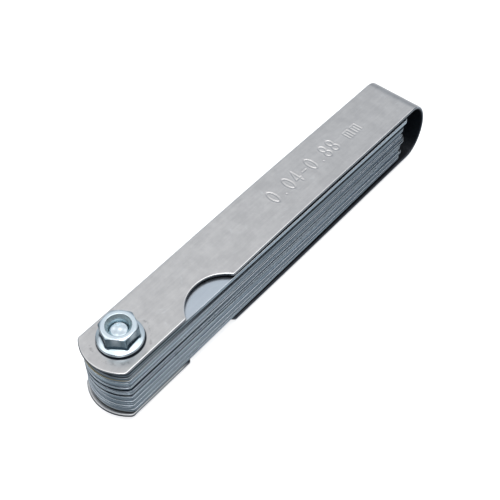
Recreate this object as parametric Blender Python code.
"""Feeler gauge: thirty-two thickness leaves on one pivot bolt, folded into a one-piece U-shaped case.

The frame is +X along the case from the pivot to the bend, +Y across it and +Z up through the nut. Its
origin is under the middle of the closed gauge, level with the underside of the bolt head. Distances
along the case are measured from the pivot axis. Units are metres.
"""

import math
import random

import bpy
import bmesh

MM = 0.001

# Case: one strip of sheet bent into a U
CASE_WIDTH = 13.0 * MM
CASE_HEIGHT = 15.35 * MM
SHEET = 0.75 * MM
END_TIP = 7.85 * MM          # pivot axis to the tip of a plate's round end
END_SAGITTA = 2.75 * MM      # height of the round end's arc over the case's width
STRAIGHT = 87.7 * MM         # pivot axis to the start of the bend
BEND_DEPTH = 5.5 * MM        # how far the bend reaches past the straight plates
TOP_BOW = 0.35 * MM          # the clamped plates belly out between the nut and the bend
BOTTOM_BOW = 0.2 * MM
BOW_START = 6.0 * MM
BOW_STEPS = 11               # odd, so that the middle one is level
BEND_STEPS = 16
NOTCH_RADIUS = 8.0 * MM      # thumb notch cut into one long edge of both plates
NOTCH_ALONG = 18.5 * MM
NOTCH_DEPTH = 4.1 * MM

# Leaves: the usual metric set, thicknesses in hundredths of a millimetre
STEEL_LEAVES = (4, 5, 6, 8, 10, 13, 15, 18, 20, 23, 25, 28, 30, 33, 35, 38, 40, 43, 45, 48, 50, 53, 55,
                58, 60, 63, 65, 70, 75, 80, 88)
BRASS_LEAF = 25
BRASS_PLACE = 2              # the brass leaf lies below the two top leaves
HUNDREDTH = 0.01 * MM
LEAF_WIDTH = 12.7 * MM
LEAF_BACK = 7.1 * MM         # pivot axis to the leaf's pivot end
LEAF_REACH = 86.9 * MM       # pivot axis to the leaf's tip
LEAF_REACH_SPREAD = 0.8 * MM
LEAF_SAGITTA = 2.6 * MM
LEAF_FAN = math.radians(0.16)        # small random swing of each leaf in the closed stack
OUTER_LEAF_FAN = math.radians(0.35)  # the top two leaves swing out to one side, the bottom one to the other
TOP_LEAVES = 2
SEED = 32
# Air over the top leaf, under the bottom leaf, and at the wider places in between, by leaves above
WIDE_GAPS = {0: 0.20 * MM, 1: 0.55 * MM, 9: 0.07 * MM, 14: 0.05 * MM, 25: 0.06 * MM, 32: 0.42 * MM}

# Pivot: bolt with a low slotted head under the case, flange nut on top
BOLT_RADIUS = 2.0 * MM
BOLT_CLEARANCE = 0.08 * MM
HOLE_RADIUS = 2.1 * MM
HEAD_RADIUS = 4.2 * MM
HEAD_HEIGHT = 1.3 * MM
HEAD_EDGE = 0.4 * MM
SLOT_WIDTH = 1.1 * MM
SLOT_DEPTH = 0.6 * MM
BOLT_END_SINK = 1.3 * MM     # the bolt ends this far below the nut's top
BOLT_END_CHAMFER = 0.35 * MM
SEAT_GAP = 0.05 * MM         # between the nut or the bolt head and the plate it is tight against
NUT_ACROSS_FLATS = 7.0 * MM
NUT_HEIGHT = 4.3 * MM
NUT_TURN = math.radians(5.0)
NUT_TOP_RADIUS = 3.35 * MM
NUT_CHAMFER_ANGLE = math.radians(30.0)
NUT_SINK_RADIUS = 2.6 * MM
NUT_SINK_DEPTH = 0.65 * MM
FLANGE_RADIUS = 4.72 * MM
FLANGE_RIM_LOW = 0.3 * MM
FLANGE_RIM_HIGH = 0.75 * MM
FLANGE_SEAT_RADIUS = 4.1 * MM
FLANGE_NECK_HEIGHT = 1.25 * MM

HOLE_SIDES = 24
TURNED_SIDES = 36

# Worked out from the above
PIVOT_X = (END_TIP - STRAIGHT - BEND_DEPTH) / 2
CASE_BOTTOM = HEAD_HEIGHT + SEAT_GAP
CASE_TOP = CASE_BOTTOM + CASE_HEIGHT
CASE_MIDDLE = CASE_BOTTOM + CASE_HEIGHT / 2
NUT_BOTTOM = CASE_TOP + SEAT_GAP
NUT_TOP = NUT_BOTTOM + NUT_HEIGHT
OVERCUT = 3.0 * MM


def clear_scene():
    """Remove every object that the file starts with."""
    for item in list(bpy.data.objects):
        bpy.data.objects.remove(item, do_unlink=True)


def make_material(name, color, roughness, metallic=1.0):
    """Return a Principled BSDF material of one colour."""
    material = bpy.data.materials.new(name)
    material.use_nodes = True
    shader = material.node_tree.nodes["Principled BSDF"]
    shader.inputs["Base Color"].default_value = (*color, 1.0)
    shader.inputs["Roughness"].default_value = roughness
    shader.inputs["Metallic"].default_value = metallic
    return material


def make_object(name, bm, material, sharp_angle=35.0):
    """Turn a bmesh into a named object with outward normals, shaded smooth except over sharp edges."""
    bmesh.ops.recalc_face_normals(bm, faces=bm.faces[:])
    mesh = bpy.data.meshes.new(name)
    bm.to_mesh(mesh)
    bm.free()
    mesh.shade_smooth()
    mesh.set_sharp_from_angle(angle=math.radians(sharp_angle))
    item = bpy.data.objects.new(name, mesh)
    if material is not None:
        mesh.materials.append(material)
    bpy.context.scene.collection.objects.link(item)
    return item


def cut(item, cutter, operation="DIFFERENCE"):
    """Apply an exact Boolean to item, with a cutter that stays hidden."""
    cutter.hide_render = True
    cutter.display_type = "WIRE"
    modifier = item.modifiers.new(cutter.name, "BOOLEAN")
    modifier.operation = operation
    modifier.object = cutter
    modifier.solver = "EXACT"


def loop_edges(bm, points):
    """Add a closed loop of edges through (x, y) points at height 0 and return them."""
    verts = [bm.verts.new((x, y, 0.0)) for x, y in points]
    return [bm.edges.new((a, b)) for a, b in zip(verts, verts[1:] + verts[:1])]


def prism(loops, bottom, height):
    """Extrude an outline, with any holes in it, from bottom up by height."""
    bm = bmesh.new()
    edges = [edge for points in loops for edge in loop_edges(bm, points)]
    bmesh.ops.triangle_fill(bm, use_beauty=True, use_dissolve=False, edges=edges)
    bmesh.ops.translate(bm, verts=bm.verts[:], vec=(0, 0, bottom))
    raised = bmesh.ops.extrude_face_region(bm, geom=bm.faces[:])["geom"]
    top = [part for part in raised if isinstance(part, bmesh.types.BMVert)]
    bmesh.ops.translate(bm, verts=top, vec=(0, 0, height))
    return bm


def turned(profile, sides):
    """Turn a closed profile of (radius, height) points about Z. Points on the axis close it."""
    bm = bmesh.new()
    verts = [bm.verts.new((radius, 0.0, height)) for radius, height in profile]
    edges = [bm.edges.new((a, b)) for a, b in zip(verts, verts[1:])]
    bmesh.ops.spin(bm, geom=verts + edges, axis=(0, 0, 1), cent=(0, 0, 0), angle=math.tau, steps=sides,
                   use_merge=True)
    bmesh.ops.remove_doubles(bm, verts=bm.verts[:], dist=0.001 * MM)
    return bm


def circle(radius, sides, center=(0.0, 0.0), phase=0.0):
    """Return the corners of a regular polygon inscribed in a circle."""
    angles = [phase + math.tau * step / sides for step in range(sides)]
    return [(center[0] + radius * math.cos(a), center[1] + radius * math.sin(a)) for a in angles]


def arc_over(half_width, sagitta, steps, reach=None):
    """Return points of an arc that bulges to +X, from -Y to +Y, with its tip at x = 0.

    The arc is the one that has the given sagitta over the given half width. It can be drawn out to a
    larger reach on each side.
    """
    radius = (half_width ** 2 + sagitta ** 2) / (2 * sagitta)
    span = math.asin((reach or half_width) / radius)
    angles = [span * (2 * step / steps - 1) for step in range(steps + 1)]
    return [(radius * (math.cos(a) - 1), radius * math.sin(a)) for a in angles]


def bow(fraction):
    """Return the belly of a plate, 0 to 1 to 0, with level ends."""
    return (1 - math.cos(math.tau * fraction)) / 2


def case_profile(inset):
    """Return (x, z) points along the strip's outer face, or its inner face for an inset of SHEET."""
    half = CASE_HEIGHT / 2 - inset
    depth = BEND_DEPTH - inset
    run = STRAIGHT - BOW_START
    steps = [step / BOW_STEPS for step in range(BOW_STEPS)]
    top = [(BOW_START + run * s, half + TOP_BOW * bow(s)) for s in steps]
    turns = [math.pi / 2 - math.pi * step / BEND_STEPS for step in range(BEND_STEPS + 1)]
    bend = [(STRAIGHT + depth * math.cos(a), half * math.sin(a)) for a in turns]
    bottom = [(BOW_START + run * s, -half - BOTTOM_BOW * bow(s)) for s in reversed(steps)]
    return [(-END_TIP, half)] + top + bend + bottom + [(-END_TIP, -half)]


def build_case(material):
    """Make the U-shaped case: a bent strip, less its round ends, bolt holes and thumb notches."""
    bm = bmesh.new()
    rows = []
    for side in (-CASE_WIDTH / 2, CASE_WIDTH / 2):
        for inset in (0.0, SHEET):
            rows.append([bm.verts.new((x, side, z)) for x, z in case_profile(inset)])
    near_out, near_in, far_out, far_in = rows
    for a, b in ((near_out, near_in), (near_in, far_in), (far_in, far_out), (far_out, near_out)):
        for i in range(len(a) - 1):
            bm.faces.new((a[i], a[i + 1], b[i + 1], b[i]))
    for end in (0, -1):
        bm.faces.new((near_out[end], near_in[end], far_in[end], far_out[end]))
    case = make_object("case", bm, material)
    case.location = (PIVOT_X, 0, CASE_MIDDLE)

    low = -CASE_HEIGHT
    high = 2 * CASE_HEIGHT
    arc = arc_over(CASE_WIDTH / 2, END_SAGITTA, 20, reach=CASE_WIDTH / 2 + OVERCUT / 3)
    outline = [(-END_TIP - x, y) for x, y in arc]
    outline += [(-END_TIP - OVERCUT, arc[-1][1]), (-END_TIP - OVERCUT, arc[0][1])]
    notch_side = CASE_WIDTH / 2 + NOTCH_RADIUS - NOTCH_DEPTH
    cutters = {
        "cutter_round_end": [outline],
        "cutter_bolt_hole": [circle(HOLE_RADIUS, HOLE_SIDES)],
        "cutter_thumb_notch": [circle(NOTCH_RADIUS, 56, (NOTCH_ALONG, -notch_side), math.tau / 112)],
    }
    for name, loops in cutters.items():
        cutter = make_object(name, prism(loops, low, high), None)
        cutter.location = case.location
        cut(case, cutter)


def leaf_order():
    """Return (hundredths, is_brass) from the top leaf down: thick leaves outside, thin ones inside."""
    thick_first = sorted(STEEL_LEAVES, reverse=True)
    order = thick_first[0::2] + thick_first[1::2][::-1]
    stack = [(hundredths, False) for hundredths in order]
    stack.insert(BRASS_PLACE, (BRASS_LEAF, True))
    return stack


def build_leaf(name, thickness, reach, material):
    """Make one leaf: a strip with two round ends and a bolt hole, its origin on the pivot axis."""
    tip = [(reach + x, y) for x, y in arc_over(LEAF_WIDTH / 2, LEAF_SAGITTA, 10)]
    back = [(-LEAF_BACK - x, -y) for x, y in arc_over(LEAF_WIDTH / 2, LEAF_SAGITTA, 10)]
    bm = prism([tip + back, circle(HOLE_RADIUS, HOLE_SIDES)], 0.0, thickness)
    return make_object(name, bm, material)


def build_leaves(steel, brass):
    """Make the stack of leaves, from the top down, each a little longer, shorter or further round."""
    chance = random.Random(SEED)
    stack = leaf_order()
    total = sum(hundredths for hundredths, _ in stack) * HUNDREDTH
    spare = CASE_HEIGHT - 2 * SHEET - total - sum(WIDE_GAPS.values())
    thin_gap = spare / (len(stack) + 1 - len(WIDE_GAPS))
    height = CASE_TOP - SHEET
    for above, (hundredths, is_brass) in enumerate(stack):
        thickness = hundredths * HUNDREDTH
        height -= WIDE_GAPS.get(above, thin_gap) + thickness
        reach = LEAF_REACH + chance.uniform(-1, 1) * LEAF_REACH_SPREAD
        swing = chance.uniform(-1, 1) * LEAF_FAN
        if above < TOP_LEAVES:
            swing = -OUTER_LEAF_FAN
        if above == 0:
            reach = LEAF_REACH + LEAF_REACH_SPREAD
        if above == len(stack) - 1:
            swing = OUTER_LEAF_FAN
            reach = LEAF_REACH + LEAF_REACH_SPREAD
        name = f"leaf_{hundredths:03d}" + ("_brass" if is_brass else "")
        leaf = build_leaf(name, thickness, reach, brass if is_brass else steel)
        leaf.location = (PIVOT_X, 0, height)
        leaf.rotation_euler = (0, 0, swing)


def build_bolt(material):
    """Make the pivot bolt: a low slotted head, a plain round shank and a chamfered end."""
    end = NUT_TOP - BOLT_END_SINK
    profile = [
        (0, 0),
        (HEAD_RADIUS - HEAD_EDGE, 0),
        (HEAD_RADIUS, HEAD_EDGE),
        (HEAD_RADIUS, HEAD_HEIGHT),
        (BOLT_RADIUS, HEAD_HEIGHT),
        (BOLT_RADIUS, end - BOLT_END_CHAMFER),
        (BOLT_RADIUS - BOLT_END_CHAMFER, end),
        (0, end),
    ]
    bolt = make_object("pivot_bolt", turned(profile, TURNED_SIDES), material)
    bolt.location = (PIVOT_X, 0, 0)
    half = SLOT_WIDTH / 2
    reach = HEAD_RADIUS + OVERCUT
    slot = [(-half, -reach), (half, -reach), (half, reach), (-half, reach)]
    cutter = make_object("cutter_head_slot", prism([slot], SLOT_DEPTH - OVERCUT, OVERCUT), None)
    cutter.location = bolt.location
    cutter.rotation_euler = (0, 0, math.radians(35))
    cut(bolt, cutter)


def build_nut(material):
    """Make the flange nut: a chamfered hexagon on a flange, with a countersunk bolt hole."""
    corner = NUT_ACROSS_FLATS / 2 / math.cos(math.pi / 6)
    hexagon = circle(corner, 6, phase=NUT_TURN)
    nut = make_object("flange_nut", prism([hexagon], FLANGE_RIM_LOW, NUT_HEIGHT - FLANGE_RIM_LOW), material)
    nut.location = (PIVOT_X, 0, NUT_BOTTOM)

    wide = 2 * corner
    cone_drop = (wide - NUT_TOP_RADIUS) * math.tan(NUT_CHAMFER_ANGLE)
    high = NUT_HEIGHT + OVERCUT
    chamfer = [
        (NUT_TOP_RADIUS, NUT_HEIGHT),
        (wide, NUT_HEIGHT - cone_drop),
        (wide, high),
        (NUT_TOP_RADIUS, high),
        (NUT_TOP_RADIUS, NUT_HEIGHT),
    ]
    flange = [
        (0, 0),
        (FLANGE_SEAT_RADIUS, 0),
        (FLANGE_RADIUS, FLANGE_RIM_LOW),
        (FLANGE_RADIUS, FLANGE_RIM_HIGH),
        (corner, FLANGE_NECK_HEIGHT),
        (0, FLANGE_NECK_HEIGHT),
    ]
    bore_radius = BOLT_RADIUS + BOLT_CLEARANCE
    sink_slope = (NUT_SINK_RADIUS - bore_radius) / NUT_SINK_DEPTH
    bore = [
        (0, -OVERCUT),
        (bore_radius, -OVERCUT),
        (bore_radius, NUT_HEIGHT - NUT_SINK_DEPTH),
        (NUT_SINK_RADIUS + sink_slope * OVERCUT, NUT_HEIGHT + OVERCUT),
        (0, NUT_HEIGHT + OVERCUT),
    ]
    tools = (("cutter_nut_chamfer", chamfer, "DIFFERENCE"), ("cutter_nut_flange", flange, "UNION"),
             ("cutter_nut_bore", bore, "DIFFERENCE"))
    for name, profile, operation in tools:
        cutter = make_object(name, turned(profile, TURNED_SIDES), None)
        cutter.location = nut.location
        cut(nut, cutter, operation)


def main():
    """Build the whole gauge."""
    clear_scene()
    case_steel = make_material("case_steel", (0.62, 0.63, 0.64), 0.32)
    leaf_steel = make_material("leaf_steel", (0.52, 0.55, 0.58), 0.28)
    leaf_brass = make_material("leaf_brass", (0.62, 0.50, 0.26), 0.30)
    zinc_plate = make_material("zinc_plate", (0.72, 0.75, 0.76), 0.18)
    build_case(case_steel)
    build_leaves(leaf_steel, leaf_brass)
    build_bolt(zinc_plate)
    build_nut(zinc_plate)


main()
